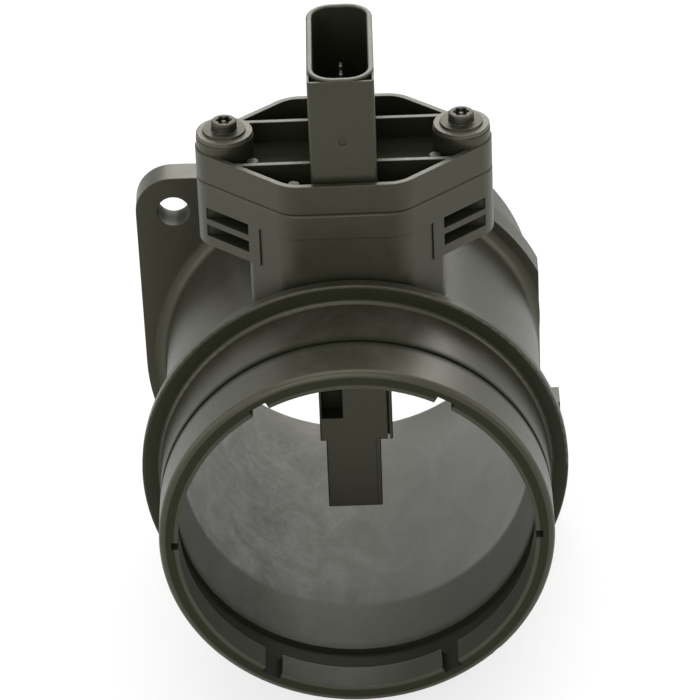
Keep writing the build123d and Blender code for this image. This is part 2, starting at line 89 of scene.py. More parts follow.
# Places on the mouldings that the finishes follow: along the duct (Y), out from its axis, and up (Z)
FLARE_END = -54.5 * MM
RECESS_END = -71.0 * MM
GROOVE_MIDDLE = -73.7 * MM
COLLAR_FRONT = -57.6 * MM
BORE_LIMIT = 41.6 * MM
RECESS_WALL = 41.8 * MM
GROOVE_FLOOR = 43.6 * MM
SEAT_WALL = 44.5 * MM
PAN_LOW = 63.0 * MM
PAN_HIGH = 71.4 * MM


# Settings that a user would change

def colour_setting(name, description, default):
    """A linear colour with limits from 0 to 1."""
    return FloatVectorProperty(
        name=name, description=description, default=default, size=3, subtype="COLOR", min=0.0, max=1.0
    )


def length_setting(name, description, default):
    """A length in metres."""
    return FloatProperty(
        name=name, description=description, default=default, unit="LENGTH", subtype="DISTANCE",
        precision=5, min=0.0,
    )


def share_setting(name, description, default):
    """A share from 0 to 1."""
    return FloatProperty(
        name=name, description=description, default=default, subtype="FACTOR", min=0.0, max=1.0
    )


def power_setting(name, description, default):
    """A lamp's power in watts."""
    return FloatProperty(name=name, description=description, default=default, unit="POWER", min=0.0)


class AirflowPlasticSettings(bpy.types.PropertyGroup):
    """Colours and grain of the two glass-filled plastics."""

    tube_deep: colour_setting("Tube, deep", "Darker tone of the flow tube", (0.0100, 0.0104, 0.0066))
    tube_pale: colour_setting("Tube, pale", "Paler tone of the flow tube", (0.0215, 0.0212, 0.0150))
    module_deep: colour_setting("Module, deep", "Darker tone of the sensor body", (0.0100, 0.0103, 0.0066))
    module_pale: colour_setting("Module, pale", "Paler tone of the sensor body", (0.0205, 0.0202, 0.0145))
    # Over the bore this pale tone is partly a film and partly painted light.
    film: colour_setting("Film", "Pale film that handling and air leave in the bore", (0.345, 0.343, 0.330))
    edge: colour_setting("Edge", "Tone of rubbed edges", (0.095, 0.090, 0.078))
    sheen: colour_setting("Sheen", "Tint of the plastic's own gloss", (1.0, 0.98, 0.74))
    # Painted shade: the Cavity colour is the dark matt tone mixed in where pockets, slots and grooves lie in
    # shade.
    cavity: colour_setting("Cavity", "Matt tone deep in pockets, slots and grooves", (0.0110, 0.0118, 0.0052))
    painted_shade_reach: length_setting("Cavity reach", "How near other walls make a place a cavity", 13.0 * MM)
    grain: length_setting("Grain", "Width of the mould's spark-eroded grain", 0.45 * MM)
    grain_depth: length_setting("Grain depth", "Height of the grain", 0.02 * MM)
    edge_width: length_setting("Edge width", "Radius that the light sees on a moulded edge", 0.35 * MM)
    roughness: share_setting("Roughness", "Middle roughness of the mouldings", 0.40)


class AirflowScrewSettings(bpy.types.PropertyGroup):
    """Sizes and plating of the two retaining screws."""

    washer_radius: length_setting("Washer radius", "Radius of the captive washer", 6.4 * MM)
    flange_radius: length_setting("Flange radius", "Radius of the flange under the head", 4.9 * MM)
    head_radius: length_setting("Head radius", "Radius of the head", 2.9 * MM)
    shank_radius: length_setting("Shank radius", "Radius over the thread's crests", 2.0 * MM)
    washer_height: length_setting("Washer height", "Thickness of the captive washer", 1.1 * MM)
    flange_height: length_setting("Flange height", "Thickness of the flange under the head", 0.6 * MM)
    head_height: length_setting("Head height", "Height of the head above its flange", 2.1 * MM)
    recess_radius: length_setting("Recess radius", "Mean radius of the six-lobe recess", 1.6 * MM)
    recess_depth: length_setting("Recess depth", "Depth of the six-lobe recess", 1.6 * MM)
    pin_radius: length_setting("Pin radius", "Radius of the pin in the middle of the recess", 0.55 * MM)
    pitch: length_setting("Pitch", "Advance of the thread in one turn", 1.8 * MM)
    steps: IntProperty(name="Steps", description="Steps round a screw", default=96, min=24, max=240)
    plating: colour_setting("Plating", "Near-black plating of the screws", (0.013, 0.013, 0.008))
    bright: colour_setting("Bright", "Steel where the plating is rubbed", (0.16, 0.155, 0.145))
    washer: colour_setting("Washer", "Grey satin of the captive washers", (0.050, 0.047, 0.035))


class AirflowRubberSettings(bpy.types.PropertyGroup):
    """Shape and tone of the rubber rings."""

    crown: length_setting("Crown", "Height of the two sealing lips above the groove between them", 0.7 * MM)
    steps: IntProperty(name="Steps", description="Steps round the ring", default=256, min=64, max=512)
    tone: colour_setting("Rubber", "Tone of the rubber", (0.013, 0.013, 0.012))
    bloom: colour_setting("Bloom", "Pale bloom on the rubber", (0.032, 0.032, 0.030))


class AirflowCircuitSettings(bpy.types.PropertyGroup):
    """Tones of the circuit's pieces."""

    sheet: colour_setting("Carrier", "Rolled aluminium sheet", (0.62, 0.62, 0.61))
    ceramic: colour_setting("Board", "Fired ceramic", (0.72, 0.70, 0.65))
    track: colour_setting("Track", "Printed conductor", (0.33, 0.31, 0.28))
    silicon: colour_setting("Chip", "Polished silicon", (0.10, 0.105, 0.13))
    package: colour_setting("Package", "Moulded chip package", (0.022, 0.022, 0.023))
    block: colour_setting("Capacitor", "Fired capacitor body", (0.34, 0.22, 0.13))
    tin: colour_setting("Tin", "Tinned contact metal", (0.16, 0.157, 0.148))
    glaze: colour_setting("Bead", "Glaze of the temperature bead", (0.06, 0.10, 0.08))


class AirflowStageSettings(bpy.types.PropertyGroup):
    """Camera, light and floor."""

    eye: FloatVectorProperty(
        name="Eye", description="Place of the camera", size=3, subtype="TRANSLATION", unit="LENGTH",
        default=(8.79 * MM, -1018.84 * MM, 625.65 * MM),
    )
    aim: FloatVectorProperty(
        name="Aim", description="Point on the camera's axis", size=3, subtype="TRANSLATION", unit="LENGTH",
        default=(0.0, -47.0 * MM, 20.0 * MM),
    )
    roll: FloatProperty(
        name="Roll", description="Turn of the camera about its axis", subtype="ANGLE",
        default=math.radians(-2.3),
    )
    lens: FloatProperty(name="Lens", description="Focal length in millimetres", default=257.14, min=20.0)
    shift: FloatVectorProperty(
        name="Shift", description="Shift of the picture's middle, in picture widths", size=2,
        default=(-0.00277, 0.02937),
    )
    floor: colour_setting("Floor", "Tone of the floor", (0.90, 0.90, 0.895))
    surround: share_setting("Surround", "Strength of the even light from all round", 0.70)
    overhead: power_setting("Overhead", "Power of the overhead softbox", 3.5)
    behind: power_setting("Behind", "Power of the softbox behind", 8.0)
    front: power_setting("Front", "Power of the softbox by the camera", 4.5)
    side: power_setting("Side", "Power of the side softboxes", 2.4)


# Shader maths

class Value:
    """A number that changes over a surface. It wraps a socket, and arithmetic on it adds Math nodes."""

    def __init__(self, finish, socket):
        self.finish = finish
        self.socket = socket

    def maths(self, operation, *operands, clamp=False):
        """A Math node of that operation on the operands, in order."""
        settings = {"operation": operation, "use_clamp": clamp}
        return self.finish.node("ShaderNodeMath", settings, dict(enumerate(operands)))

    def __add__(self, other):
        return self.maths("ADD", self, other)

    def __radd__(self, other):
        return self.maths("ADD", other, self)

    def __sub__(self, other):
        return self.maths("SUBTRACT", self, other)

    def __rsub__(self, other):
        return self.maths("SUBTRACT", other, self)

    def __mul__(self, other):
        return self.maths("MULTIPLY", self, other)

    def __rmul__(self, other):
        return self.maths("MULTIPLY", other, self)

    def __truediv__(self, other):
        return self.maths("DIVIDE", self, other)

    def __rtruediv__(self, other):
        return self.maths("DIVIDE", other, self)

    def __pow__(self, other):
        return self.maths("POWER", self, other)

    def __abs__(self):
        return self.maths("ABSOLUTE", self)

    def __neg__(self):
        return self.maths("MULTIPLY", self, -1.0)

    def root(self):
        """Square root."""
        return self.maths("SQRT", self)

    def sine(self):
        """Sine of the value in radians."""
        return self.maths("SINE", self)

    def clipped(self):
        """The value held between 0 and 1."""
        return self.maths("ADD", self, 0.0, clamp=True)

    def rising(self, low, high):
        """0 below low, 1 above high and a smooth step between; low above high makes it fall."""
        if low > high:
            return 1.0 - self.rising(high, low)
        settings = {"interpolation_type": "SMOOTHSTEP"}
        sockets = {"Value": self, "From Min": low, "From Max": high}
        return self.finish.node("ShaderNodeMapRange", settings, sockets)


class Finish:
    """One material: its node tree and the shader that everything feeds."""

    def __init__(self, name):
        self.material = bpy.data.materials.new(name)
        self.material.use_nodes = True
        self.tree = self.material.node_tree
        self.tree.nodes.clear()
        self.shader = self.tree.nodes.new("ShaderNodeBsdfPrincipled")
        self.output = self.tree.nodes.new("ShaderNodeOutputMaterial")
        self.tree.links.new(self.shader.outputs["BSDF"], self.output.inputs["Surface"])
        self.place = self.node("ShaderNodeTexCoord", {}, {}, "Object")

    def feed(self, socket, value):
        """Links a value to a socket, or sets the socket's own number or colour."""
        if isinstance(value, Value):
            self.tree.links.new(value.socket, socket)
        elif socket.type == "RGBA" and len(value) == 3:
            socket.default_value = (*value, 1.0)
        else:
            socket.default_value = value

    def node(self, kind, settings, sockets, output=0):
        """A node of that type: its settings first, then its sockets by name or number."""
        made = self.tree.nodes.new(kind)
        for key, value in settings.items():
            setattr(made, key, value)
        for key, value in sockets.items():
            self.feed(made.inputs[key], value)
        return Value(self, made.outputs[output])

    def axes(self):
        """The place on the piece as three numbers, in metres."""
        split = self.tree.nodes.new("ShaderNodeSeparateXYZ")
        self.tree.links.new(self.place.socket, split.inputs[0])
        return tuple(Value(self, split.outputs[key]) for key in "XYZ")

    def facing(self, axis):
        """How far the surface looks along an axis, -1 to 1."""
        normal = self.node("ShaderNodeNewGeometry", {}, {}, "Normal")
        return self.node("ShaderNodeVectorMath", {"operation": "DOT_PRODUCT"}, {0: normal, 1: axis}, "Value")

    def mapped(self, scale, turn=(0.0, 0.0, 0.0)):
        """The place, turned and stretched."""
        return self.node(
            "ShaderNodeMapping", {"vector_type": "POINT"},
            {"Vector": self.place, "Scale": scale, "Rotation": turn},
        )

    def noise(self, size, detail=3.0, rough=0.5, where=None, warp=0.0):
        """Fractal noise about 0 to 1, with features of that size in metres."""
        sockets = {
            "Vector": where or self.place, "Scale": 1.0 / size, "Detail": detail, "Roughness": rough,
            "Distortion": warp,
        }
        return self.node("ShaderNodeTexNoise", {}, sockets, 0)

    def cells(self, size, where=None):
        """Distance to the nearest of scattered points, about 0 to 1 over that size."""
        sockets = {"Vector": where or self.place, "Scale": 1.0 / size}
        return self.node("ShaderNodeTexVoronoi", {}, sockets, "Distance")

    def blend(self, factor, first, second):
        """Colour mixed from the first at 0 to the second at 1."""
        settings = {"data_type": "RGBA", "blend_type": "MIX", "clamp_factor": True}
        return self.node("ShaderNodeMix", settings, {0: factor, 6: first, 7: second}, 2)

    def rounded(self, radius):
        """The surface normal as if every edge were rounded to that radius."""
        return self.node("ShaderNodeBevel", {"samples": 4}, {"Radius": radius})

    def edges(self, soft, gain):
        """1 on outer and inner edges and 0 on flats: how far the rounded normal leaves the true one."""
        true = self.node("ShaderNodeNewGeometry", {}, {}, "Normal")
        along = self.node("ShaderNodeVectorMath", {"operation": "DOT_PRODUCT"}, {0: soft, 1: true}, "Value")
        return ((1.0 - along) * gain).clipped()

    def bump(self, height, distance, strength=1.0, normal=None):
        """Normal tilted by a height field; distance is the height in metres at 1."""
        sockets = {"Height": height, "Distance": distance, "Strength": strength}
        if normal is not None:
            sockets["Normal"] = normal
        return self.node("ShaderNodeBump", {}, sockets)

    def depth(self, reach):
        """Painted shade share from ambient occlusion: 1 deep between walls that stand within reach, 0 in the
        open.
        """
        open_share = self.node("ShaderNodeAmbientOcclusion", {"samples": 6}, {"Distance": reach}, "AO")
        return open_share.rising(0.72, 0.34)

    def set(self, **sockets):
        """Feeds the shader; a socket's spaces are written as underscores."""
        for key, value in sockets.items():
            self.feed(self.shader.inputs[key.replace("_", " ")], value)
        return self.material

    def mix_in(self, share, other):
        """Puts a second shader over the first by a share that changes over the surface."""
        first = Value(self, self.shader.outputs["BSDF"])
        mixed = self.node("ShaderNodeMixShader", {}, {0: share, 1: first, 2: other})
        self.tree.links.new(mixed.socket, self.output.inputs["Surface"])
        return self.material


def bore_film_and_painted_light(finish, x, y, z):
    """Where the bore wall is, and how much pale tone lies on it, partly a film and partly painted light:
    thick, more on the right, mottled on the left, thin below.
    """
    inside = (x * x + z * z).root().rising(BORE_LIMIT + 0.7 * MM, BORE_LIMIT)
    past_flare = y.rising(FLARE_END - 1.5 * MM, FLARE_END + 1.0 * MM)
    past_recess = y.rising(RECESS_END, RECESS_END + 3.0 * MM)
    filter_end = y.rising(4 * MM, 23 * MM)
    wall = inside * (past_flare * 0.75 + past_recess * 0.25) * (1.0 - filter_end * 0.65)
    smear = finish.noise(9 * MM, 5.0, 0.64, finish.mapped((1.0, 0.55, 1.0), (0.0, 0.5, 0.0)), warp=0.9)
    mottle = finish.noise(2.2 * MM, 4.0, 0.68, warp=0.8)
    left = (0.0 - x).rising(-14 * MM, 26 * MM)
    right = x.rising(4 * MM, 34 * MM)
    low = (0.0 - z).rising(5 * MM, 36 * MM)
    # Painted light: the extra pale tone towards +x stands in for light that the bore's right side lacks.
    cover = 0.92 + right * 0.25 - low * 0.5
    cover = cover + (smear - 0.5) * (0.3 + left * 0.5) + (mottle - 0.5) * (0.1 + left * 0.4)
    return wall, (wall * cover).clipped()


def tube_painted_shade(finish, x, y, z):
    """Painted shade share: where the dark matt tone goes in the mouth's recess, along the lip's groove and on
    the collar's front.
    """
    reach = (x * x + z * z).root()
    recess = reach.rising(RECESS_WALL - 0.9 * MM, RECESS_WALL - 0.5 * MM)
    recess = recess * reach.rising(RECESS_WALL + 1.4 * MM, RECESS_WALL + 1.1 * MM)
    recess = recess * y.rising(RECESS_END + 0.5 * MM, RECESS_END - 0.5 * MM)
    groove = abs(y - GROOVE_MIDDLE).rising(2.7 * MM, 0.6 * MM)
    groove = groove * reach.rising(GROOVE_FLOOR - 0.6 * MM, GROOVE_FLOOR - 0.2 * MM)
    groove = groove * reach.rising(SEAT_WALL + 1.5 * MM, SEAT_WALL + 0.9 * MM)
    collar = finish.facing((0.0, -1.0, 0.0)).rising(0.6, 0.9)
    collar = collar * reach.rising(SEAT_WALL + 0.3 * MM, SEAT_WALL + 0.8 * MM)
    collar = collar * y.rising(COLLAR_FRONT + 2.1 * MM, COLLAR_FRONT + 0.6 * MM)
    return recess * 0.8 + groove * 0.9 + collar * 0.5


def moulded_finish(name, deep, pale, sizes, film=None):
    """Glass-filled moulding: clouds, fibre streaks, spark grain, rubbed edges, dust, and painted shade in
    pockets.

    With a film colour it is the flow tube, with the pale film and painted light in its bore. Without one it
    is the sensor module.
    """
    finish = Finish(name)
    x, y, z = finish.axes()
    cloud = finish.noise(26 * MM, 4.0, 0.55, warp=0.4)
    speck = finish.noise(1.6 * MM, 3.0, 0.6)
    streak = finish.noise(2.2 * MM, 3.0, 0.6, finish.mapped((1.0, 0.16, 1.0), (0.1, 0.0, 0.25)), warp=0.3)
    grain = finish.noise(sizes.grain, 2.0, 0.6)
    soft = finish.rounded(sizes.edge_width)
    edge = finish.edges(soft, 2.6)
    up = finish.facing((0.0, 0.0, 1.0)).rising(0.35, 0.95)
    tone = ((cloud - 0.5) * 1.1 + (streak - 0.5) * 0.7 + (speck - 0.5) * 0.5 + 0.5).clipped()
    dust = up * finish.noise(7 * MM, 4.0, 0.65).rising(0.35, 0.8) * 0.12
    worn = edge * finish.noise(3.5 * MM, 3.0, 0.6).rising(0.25, 0.7) * 0.5
    colour = finish.blend(tone, deep, pale)
    colour = finish.blend(dust, colour, sizes.edge)
    colour = finish.blend(worn, colour, sizes.edge)
    rough = sizes.roughness + (cloud - 0.5) * 0.16 + (speck - 0.5) * 0.12 + dust * 0.4
    # Painted shade: ambient occlusion mixes a dark matt shader into pockets, slots and grooves.
    painted_shade_share = finish.depth(sizes.painted_shade_reach)
    if film is None:
        # Painted shade: up-facing faces between the pan's floor and rim heights get the dark matt tone.
        pan_floor_painted_shade = z.rising(PAN_HIGH, PAN_HIGH - 0.8 * MM) * z.rising(PAN_LOW, PAN_LOW + 1.0 * MM)
        painted_shade_share = painted_shade_share + pan_floor_painted_shade * up * 0.8
    else:
        # Pale tone over the bore wall: partly a film and partly painted light.
        wall, film_and_painted_light_share = bore_film_and_painted_light(finish, x, y, z)
        colour = finish.blend(film_and_painted_light_share, colour, film)
        rough = rough + wall * 0.36
        # Painted shade in the mouth's recess, the lip's groove and on the collar's front.
        painted_shade_share = painted_shade_share + tube_painted_shade(finish, x, y, z)
    normal = finish.bump(grain * 0.7 + speck * 0.5, sizes.grain_depth, 0.55, soft)
    finish.set(Base_Color=colour, Roughness=rough.clipped(), Normal=normal)
    finish.set(IOR=1.5, Specular_Tint=sizes.sheen)
    # The dark matt shader that the painted shade mixes in.
    matt = {"Base Color": sizes.cavity, "Roughness": 0.9, "Specular IOR Level": 0.12, "Normal": normal}
    return finish.mix_in(painted_shade_share.clipped(), finish.node("ShaderNodeBsdfPrincipled", {}, matt))


def plated_finish(name, settings):
    """Dark plated steel: turned rings about each screw's axis, cloudy passivation and rubbed edges."""
    finish = Finish(name)
    x, y, z = finish.axes()
    across = abs(x) - SCREW_REACH
    along = y - float(SCREW_MIDDLE[1])
    reach = (across * across + along * along).root()
    rings = (reach * (2.0 * math.pi / (0.22 * MM)) + finish.noise(1.2 * MM) * 5.0).sine() * 0.5 + 0.5
    cloud = finish.noise(2.4 * MM, 4.0, 0.6, warp=0.5)
    pits = finish.cells(0.5 * MM).rising(0.25, 0.05)
    soft = finish.rounded(0.14 * MM)
    worn = (finish.edges(soft, 2.5) * finish.noise(1.0 * MM, 3.0).rising(0.3, 0.7)).clipped()
    loose = reach.rising(settings.flange_radius, settings.flange_radius + 0.05 * MM)
    rubbed = (cloud.rising(0.35, 0.75) * 0.2 + worn * 0.5).clipped()
    colour = finish.blend(rubbed, settings.plating, settings.bright)
    colour = finish.blend(loose * (0.7 + (cloud - 0.5) * 0.6), colour, settings.washer)
    colour = finish.blend(pits * 0.5, colour, (0.012, 0.012, 0.010))
    rough = 0.46 - loose * 0.04 + (cloud - 0.5) * 0.24 + pits * 0.2 - worn * 0.08
    normal = finish.bump(rings * 0.6 + cloud * 0.5 - pits * 0.6, 0.012 * MM, 0.6, soft)
    metal = 0.45 - loose * 0.4
    finish.set(Base_Color=colour, Metallic=metal, Roughness=rough.clipped(), Normal=normal)
    return finish.set(Specular_Tint=(1.0, 0.97, 0.78))


def rubber_finish(name, settings):
    """Moulded rubber: matt black with a patchy bloom and a fine skin."""
    finish = Finish(name)
    bloom = finish.noise(5 * MM, 5.0, 0.65, warp=0.5).rising(0.45, 0.8)
    speck = finish.noise(0.5 * MM, 2.0, 0.5)
    colour = finish.blend(bloom * 0.7, settings.tone, settings.bloom)
    rough = 0.58 + bloom * 0.2 + (speck - 0.5) * 0.12
    normal = finish.bump(speck, 0.02 * MM, 0.5)
    return finish.set(Base_Color=colour, Roughness=rough.clipped(), Normal=normal, IOR=1.52)


def sheet_finish(name, settings):
    """Rolled aluminium: long fine scratches along the roll and dull patches."""
    finish = Finish(name)
    roll = finish.noise(0.35 * MM, 3.0, 0.6, finish.mapped((1.0, 1.0, 0.02)))
    dull = finish.noise(6 * MM, 4.0, 0.6)
    colour = finish.blend(dull.rising(0.4, 0.8) * 0.4, settings.sheet, (0.4, 0.4, 0.4))
    normal = finish.bump(roll, 0.006 * MM, 0.5)
    rough = 0.3 + (roll - 0.5) * 0.2 + dull * 0.1
    return finish.set(Base_Color=colour, Metallic=1.0, Roughness=rough, Normal=normal)


def board_finish(name, settings):
    """Fired ceramic with printed conductors: stepped tracks along the board and pads in rows."""
    finish = Finish(name)
    x, y, z = finish.axes()
    lanes = ((y * (2.0 * math.pi / (1.5 * MM))).sine()).rising(0.35, 0.5)
    ranks = ((z * (2.0 * math.pi / (5.0 * MM)) + (y * 900.0).sine() * 2.0).sine()).rising(-0.2, 0.0)
    pad_turn = 2.0 * math.pi / (2.5 * MM)
    pads = ((z * pad_turn).sine() * (y * pad_turn).sine()).rising(0.72, 0.8)
    print_mask = (lanes * ranks + pads).clipped()
    fired = finish.noise(0.8 * MM, 3.0, 0.6)
    ground = finish.blend(fired, settings.ceramic, (0.62, 0.60, 0.55))
    colour = finish.blend(print_mask, ground, settings.track)
    normal = finish.bump(print_mask + fired * 0.2, 0.015 * MM, 0.6)
    finish.set(Base_Color=colour, Normal=normal)
    return finish.set(Roughness=0.62 - print_mask * 0.25, Metallic=print_mask * 0.7)


def chip_finish(name, settings, middle):
    """Polished silicon with a paler membrane window and its heater lines in the middle."""
    finish = Finish(name)
    x, y, z = finish.axes()
    aside = abs(y - float(middle[1]))
    above = abs(z - float(middle[2]))
    window = aside.rising(0.85 * MM, 0.8 * MM) * above.rising(1.35 * MM, 1.3 * MM)
    lines = ((y * (2.0 * math.pi / (0.3 * MM))).sine()).rising(0.1, 0.4) * window
    haze = finish.noise(0.7 * MM, 3.0)
    colour = finish.blend(window * 0.6, settings.silicon, (0.16, 0.11, 0.17))
    colour = finish.blend(lines, colour, (0.55, 0.5, 0.4))
    return finish.set(Base_Color=colour, Roughness=0.12 + haze * 0.1, Metallic=lines * 0.8)


def package_finish(name, settings):
    """Moulded chip package: fine matt grain and faint swirl."""
    finish = Finish(name)
    grain = finish.noise(0.18 * MM, 2.0)
    swirl = finish.noise(1.5 * MM, 3.0, warp=1.0)
    colour = finish.blend(swirl * 0.6, settings.package, (0.045, 0.045, 0.046))
    normal = finish.bump(grain, 0.01 * MM, 0.5, finish.rounded(0.1 * MM))
    return finish.set(Base_Color=colour, Roughness=0.5 + (grain - 0.5) * 0.2, Normal=normal)


def capacitor_finish(name, settings, middle, half_height):
    """Fired block with metal caps on its two ends."""
    finish = Finish(name)
    x, y, z = finish.axes()
    cap = abs(z - float(middle[2])).rising(half_height - 0.52 * MM, half_height - 0.46 * MM)
    fired = finish.noise(0.35 * MM, 3.0, 0.6)
    colour = finish.blend(fired * 0.6, settings.block, (0.24, 0.15, 0.09))
    colour = finish.blend(cap, colour, settings.tin)
    normal = finish.bump(fired + cap * 1.5, 0.015 * MM, 0.5, finish.rounded(0.12 * MM))
    rough = 0.5 - cap * 0.15 + (fired - 0.5) * 0.2
    return finish.set(Base_Color=colour, Metallic=cap * 0.95, Roughness=rough, Normal=normal)


def tin_finish(name, settings):
    """Tinned contact blade: drawn lines along the blade and dull tin clouds."""
    finish = Finish(name)
    drawn = finish.noise(0.16 * MM, 3.0, 0.6, finish.mapped((1.0, 1.0, 0.03)))
    cloud = finish.noise(1.4 * MM, 4.0, 0.6)
    colour = finish.blend(cloud.rising(0.4, 0.75) * 0.5, settings.tin, (0.10, 0.098, 0.092))
    normal = finish.bump(drawn, 0.006 * MM, 0.5, finish.rounded(0.08 * MM))
    return finish.set(Base_Color=colour, Metallic=1.0, Roughness=0.50 + cloud * 0.14, Normal=normal)


def bead_finish(name, settings, middle_z):
    """Glazed bead below and bare tinned leads above."""
    finish = Finish(name)
    x, y, z = finish.axes()
    lead = z.rising(middle_z, middle_z + 0.2 * MM)
    wave = finish.noise(0.8 * MM, 3.0)
    colour = finish.blend(wave * 0.5, settings.glaze, (0.11, 0.15, 0.12))
    colour = finish.blend(lead, colour, (0.6, 0.59, 0.56))
    return finish.set(Base_Color=colour, Metallic=lead * 0.95, Roughness=0.14 + lead * 0.2 + wave * 0.06)


# Fine surfaces

def grid_faces(rows, columns, closed_rows=False):
    """Quads of a grid whose columns close on themselves, and whose rows do too where asked."""
    last = rows if closed_rows else rows - 1
    row = np.arange(last)[:, None]
    column = np.arange(columns)[None, :]
    after = (row + 1) % rows
    beside = (column + 1) % columns
    here, there = row * columns, after * columns
    corners = np.broadcast_arrays(here + column, here + beside, there + beside, there + column)
    return np.stack(corners, axis=-1).reshape(-1, 4)


def surface_object(name, points, faces, material):
    """A smooth mesh object at the origin from whole arrays of points and quads, riding on the object."""
    mesh = bpy.data.meshes.new(name)
    mesh.from_pydata(points.reshape(-1, 3).tolist(), [], faces.tolist())
    mesh.polygons.foreach_set("use_smooth", np.ones(len(faces), dtype=bool))
    mesh.validate()
    mesh.update()
    mesh.materials.append(material)
    made = bpy.data.objects.new(name, mesh)
    bpy.context.scene.collection.objects.link(made)
    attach(made, "root")
    return made


def arc(centre, radius, start, end, count):
    """Points on a quarter or other part of a circle in the profile's plane, angles in degrees."""
    turn = np.radians(np.linspace(start, end, count))
    return np.stack([centre[0] + radius * np.cos(turn), centre[1] + radius * np.sin(turn)], axis=1)


def run(start, end, count):
    """Points on a straight run of the profile."""
    return np.linspace(start, end, count)


def screw_points(settings, axis_x, axis_y, seat):
    """Points of one screw on a grid of profile steps by angles.

    The profile runs in radius and height from the centre pin's top, down into the recess, over the head, its
    flange and the washer, and down the shank. Each point turns about the axis. In the recess the radius is
    multiplied by 1 plus a share of the cosine of six times the angle, which makes the lobes. On the shank the
    radius falls from the crest by the thread's depth times a triangle wave of height over pitch minus angle
    over a full turn, which makes the helix.
    """
    washer_top = seat + settings.washer_height
    flange_top = washer_top + settings.flange_height
    top = flange_top + settings.head_height
    recess, pin, floor = settings.recess_radius, settings.pin_radius, top - settings.recess_depth
    head, flange, washer = settings.head_radius, settings.flange_radius, settings.washer_radius
    crest = settings.shank_radius
    length = seat - float(SCREW_LOW[2])
    plain, deepest = 3.0 * MM, 0.45 * MM
    pieces = [
        (run((1e-6, top - 0.3 * MM), (pin - 0.15 * MM, top - 0.3 * MM), 4), 0.0),
        (arc((pin - 0.15 * MM, top - 0.45 * MM), 0.15 * MM, 80, 0, 5), 0.0),
        (run((pin, top - 0.6 * MM), (pin + 0.02 * MM, floor), 4), 0.0),
        (run((pin + 0.2 * MM, floor), (recess - 0.1 * MM, floor), 4), 0.10),
        (run((recess, floor + 0.1 * MM), (recess, top - 0.2 * MM), 6), 0.17),
        (arc((recess + 0.2 * MM, top - 0.2 * MM), 0.2 * MM, 170, 95, 6), 0.12),
        (run((recess + 0.4 * MM, top), (head - 0.6 * MM, top - 0.02 * MM), 5), 0.02),
        (arc((head - 0.5 * MM, top - 0.52 * MM), 0.5 * MM, 84, 0, 10), 0.0),
        (run((head, top - 0.7 * MM), (head, flange_top + 0.25 * MM), 4), 0.0),
        (arc((head + 0.2 * MM, flange_top + 0.2 * MM), 0.2 * MM, 180, 268, 6), 0.0),
        (run((head + 0.25 * MM, flange_top), (flange - 0.17 * MM, flange_top - 0.05 * MM), 5), 0.0),
        (arc((flange - 0.15 * MM, flange_top - 0.2 * MM), 0.15 * MM, 84, 0, 6), 0.0),
        (run((flange, flange_top - 0.25 * MM), (flange, washer_top + 0.05 * MM), 3), 0.0),
        (run((flange + 0.06 * MM, washer_top), (washer - 0.27 * MM, washer_top - 0.03 * MM), 5), 0.0),
        (arc((washer - 0.25 * MM, washer_top - 0.28 * MM), 0.25 * MM, 84, 0, 6), 0.0),
        (run((washer, washer_top - 0.35 * MM), (washer, seat + 0.2 * MM), 3), 0.0),
        (arc((washer - 0.2 * MM, seat + 0.2 * MM), 0.2 * MM, 0, -88, 5), 0.0),
        (run((washer - 0.3 * MM, seat), (crest + 0.05 * MM, seat), 4), 0.0),
        (run((crest, seat - 0.05 * MM), (crest, seat - plain), 4), 0.0),
        (run((crest, seat - plain - 0.1 * MM), (crest, seat - length + 1.6 * MM), 110), 0.0),
        (run((crest - 0.1 * MM, seat - length + 1.4 * MM), (1e-6, seat - length), 8), 0.0),
    ]
    profile = np.concatenate([points for points, share in pieces])
    lobes = np.concatenate([np.full(len(points), share) for points, share in pieces])
    turn = np.linspace(0.0, 2.0 * math.pi, settings.steps, endpoint=False)
    radius, height = profile[:, 0, None], profile[:, 1, None]
    radius = radius * (1.0 + lobes[:, None] * np.cos(6.0 * turn)[None, :])
    below = np.clip((seat - plain - height) / (1.0 * MM), 0.0, 1.0)
    phase = (height / settings.pitch - turn[None, :] / (2.0 * math.pi)) % 1.0
    flank = np.clip(np.abs(phase - 0.5) * 2.0 * 1.5 - 0.25, 0.0, 1.0)
    depth = np.minimum(deepest, 0.25 * radius)
    radius = radius - below * depth * (1.0 - flank)
    height = np.broadcast_to(height, radius.shape)
    return np.stack([axis_x + radius * np.cos(turn), axis_y + radius * np.sin(turn), height], axis=-1)


def ring_points(settings, low, high):
    """Points of the spigot's rubber ring on a grid of angles round the duct by steps round its section.

    The section is a rounded oblong: half width and half height times the cosine and sine of its own angle,
    each raised to the power 0.55 with its sign kept. Its outer side dips by the crown's height times a smooth
    step that is 1 in the middle of the width and 0 beyond 0.45 of it, which leaves two sealing lips.
    """
    outer = float(high[0])
    inner = outer - 3.0 * MM
    middle, half_width = float(low[1] + high[1]) / 2, float(high[1] - low[1]) / 2
    centre, half_height = (outer + inner) / 2, (outer - inner) / 2
    around = np.linspace(0.0, 2.0 * math.pi, settings.steps, endpoint=False)[:, None]
    across = np.linspace(0.0, 2.0 * math.pi, 48, endpoint=False)[None, :]
    side = half_width * np.sign(np.cos(across)) * np.abs(np.cos(across)) ** 0.55
    rise = half_height * np.sign(np.sin(across)) * np.abs(np.sin(across)) ** 0.55
    groove = np.clip(1.0 - np.abs(side) / (0.45 * half_width), 0.0, 1.0)
    dip = settings.crown * groove ** 2 * (3.0 - 2.0 * groove) * (rise > 0)
    radius = centre + rise - dip
    grid = np.broadcast_arrays(radius * np.cos(around), middle + side + 0.0 * around, radius * np.sin(around))
    return np.stack(grid, axis=-1)


